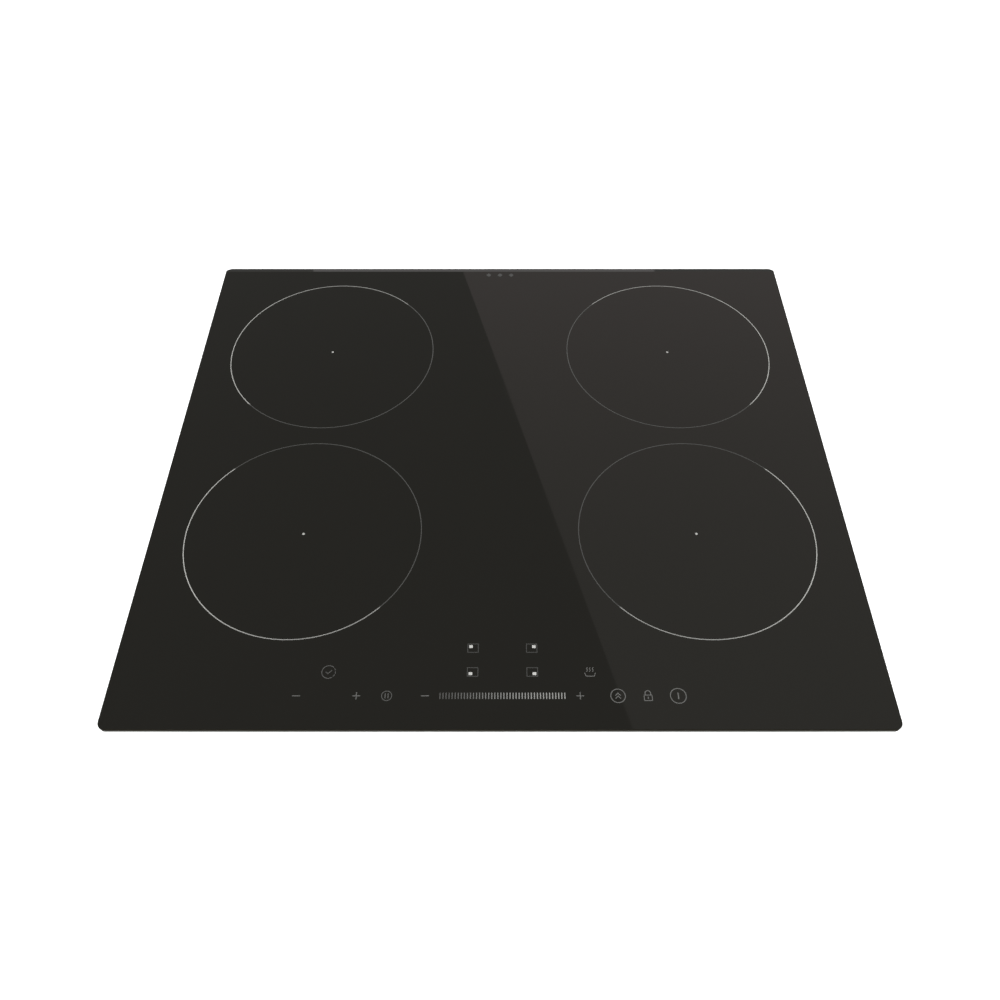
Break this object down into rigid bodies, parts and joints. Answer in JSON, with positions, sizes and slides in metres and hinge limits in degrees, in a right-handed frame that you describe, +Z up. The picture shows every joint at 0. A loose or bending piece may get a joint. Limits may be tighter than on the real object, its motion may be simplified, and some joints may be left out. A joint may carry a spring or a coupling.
{
  "type": "built-in electric induction cooktop",
  "caption": "Flat built-in induction cooktop: black glass plate with printed cooking zones and touch keys over a shallow steel case with coils, fans and electronics.",
  "frame": {"origin": "centre of the underside of the bottom cover", "axes": "+X to the user's right, +Y from the user towards the rear wall, +Z up"},
  "size_m": [0.59, 0.52, 0.0561],
  "materials": {
    "black_glass": "polished",
    "zone_print": "satin",
    "symbol_print": "satin",
    "foam": "matte",
    "silicone": "satin",
    "frame_steel": "satin",
    "cover_steel": "satin",
    "zinc_screws": "satin",
    "spring_steel": "satin",
    "terminal_plastic": "matte",
    "block_plastic": "satin",
    "brass_screws": "satin",
    "gland_rubber": "matte",
    "clamp_plastic": "satin",
    "control_plastic": "matte",
    "circuit_board": "satin",
    "pad_foam": "matte",
    "light_box": "satin",
    "tray_aluminium": "satin",
    "mica": "satin",
    "sink_aluminium": "satin",
    "chip_plastic": "matte",
    "capacitor_plastic": "glossy",
    "fan_plastic": "satin",
    "former_plastic": "matte",
    "copper": "satin",
    "ferrite": "matte",
    "sensor_cap": "matte"
  },
  "bodies": {
    "case": {"glass_plate": "black_glass", "zone_rings": "zone_print", "key_symbols": "symbol_print", "seal_gasket": "foam", "bond_bead": "silicone", "front_wall": "frame_steel", "rear_wall": "frame_steel", "left_wall": "frame_steel", "right_wall": "frame_steel", "bottom_cover": "cover_steel", "case_screws": "zinc_screws", "inner_screws": "zinc_screws", "terminal_box": "terminal_plastic", "terminal_block": "block_plastic", "terminal_screws": "brass_screws", "cable_grommet": "gland_rubber", "cable_clamp": "clamp_plastic", "control_carrier": "control_plastic", "control_board": "circuit_board", "touch_pads": "pad_foam", "light_guides": "light_box", "transistors": "chip_plastic", "capacitors": "capacitor_plastic", "left_coil_tray": "tray_aluminium", "left_mica_sheet": "mica", "left_power_board": "circuit_board", "left_heat_sink": "sink_aluminium", "left_fan_frame": "fan_plastic", "right_coil_tray": "tray_aluminium", "right_mica_sheet": "mica", "right_power_board": "circuit_board", "right_heat_sink": "sink_aluminium", "right_fan_frame": "fan_plastic", "front_left_springs": "spring_steel", "rear_left_springs": "spring_steel", "front_right_springs": "spring_steel", "rear_right_springs": "spring_steel"},
    "front_left_coil": {"front_left_former": "former_plastic", "front_left_winding": "copper", "front_left_ferrites": "ferrite", "front_left_sensor": "sensor_cap"},
    "rear_left_coil": {"rear_left_former": "former_plastic", "rear_left_winding": "copper", "rear_left_ferrites": "ferrite", "rear_left_sensor": "sensor_cap"},
    "front_right_coil": {"front_right_former": "former_plastic", "front_right_winding": "copper", "front_right_ferrites": "ferrite", "front_right_sensor": "sensor_cap"},
    "rear_right_coil": {"rear_right_former": "former_plastic", "rear_right_winding": "copper", "rear_right_ferrites": "ferrite", "rear_right_sensor": "sensor_cap"},
    "left_fan": {"left_fan_rotor": "fan_plastic"},
    "front_left_spring_clip": {"front_left_clip": "spring_steel"},
    "rear_left_spring_clip": {"rear_left_clip": "spring_steel"},
    "right_fan": {"right_fan_rotor": "fan_plastic"},
    "front_right_spring_clip": {"front_right_clip": "spring_steel"},
    "rear_right_spring_clip": {"rear_right_clip": "spring_steel"},
    "terminal_lid": {"terminal_cover": "terminal_plastic"}
  },
  "joints": [
    {"name": "front_left_coil_float", "type": "slide", "parent": "case", "child": "front_left_coil", "axis": [0, 0, 1], "range_m": [-0.002, 0], "stiffness_N_per_m": 4000, "springref_m": 0.006, "deforming": ["front_left_springs"]},
    {"name": "rear_left_coil_float", "type": "slide", "parent": "case", "child": "rear_left_coil", "axis": [0, 0, 1], "range_m": [-0.002, 0], "stiffness_N_per_m": 4000, "springref_m": 0.006, "deforming": ["rear_left_springs"]},
    {"name": "front_right_coil_float", "type": "slide", "parent": "case", "child": "front_right_coil", "axis": [0, 0, 1], "range_m": [-0.002, 0], "stiffness_N_per_m": 4000, "springref_m": 0.006, "deforming": ["front_right_springs"]},
    {"name": "rear_right_coil_float", "type": "slide", "parent": "case", "child": "rear_right_coil", "axis": [0, 0, 1], "range_m": [-0.002, 0], "stiffness_N_per_m": 4000, "springref_m": 0.006, "deforming": ["rear_right_springs"]},
    {"name": "left_fan_spin", "type": "hinge", "parent": "case", "child": "left_fan", "pos_m": [-0.165, 0.175, 0.01], "axis": [0, 0, 1], "continuous": true},
    {"name": "front_left_clip_flex", "type": "hinge", "parent": "case", "child": "front_left_spring_clip", "pos_m": [-0.274, -0.15, 0.0416], "axis": [0, -1, 0], "range_deg": [0, 6], "stiffness_Nm_per_rad": 1.5, "springref_deg": -4.58},
    {"name": "rear_left_clip_flex", "type": "hinge", "parent": "case", "child": "rear_left_spring_clip", "pos_m": [-0.274, 0.15, 0.0416], "axis": [0, -1, 0], "range_deg": [0, 6], "stiffness_Nm_per_rad": 1.5, "springref_deg": -4.58},
    {"name": "right_fan_spin", "type": "hinge", "parent": "case", "child": "right_fan", "pos_m": [0.165, 0.175, 0.01], "axis": [0, 0, 1], "continuous": true},
    {"name": "front_right_clip_flex", "type": "hinge", "parent": "case", "child": "front_right_spring_clip", "pos_m": [0.274, -0.15, 0.0416], "axis": [0, 1, 0], "range_deg": [0, 6], "stiffness_Nm_per_rad": 1.5, "springref_deg": -4.58},
    {"name": "rear_right_clip_flex", "type": "hinge", "parent": "case", "child": "rear_right_spring_clip", "pos_m": [0.274, 0.15, 0.0416], "axis": [0, 1, 0], "range_deg": [0, 6], "stiffness_Nm_per_rad": 1.5, "springref_deg": -4.58},
    {"name": "terminal_cover_hinge", "type": "hinge", "parent": "case", "child": "terminal_lid", "pos_m": [0.016, 0.2434, 0.0345], "axis": [1, 0, 0], "range_deg": [0, 80]}
  ]
}
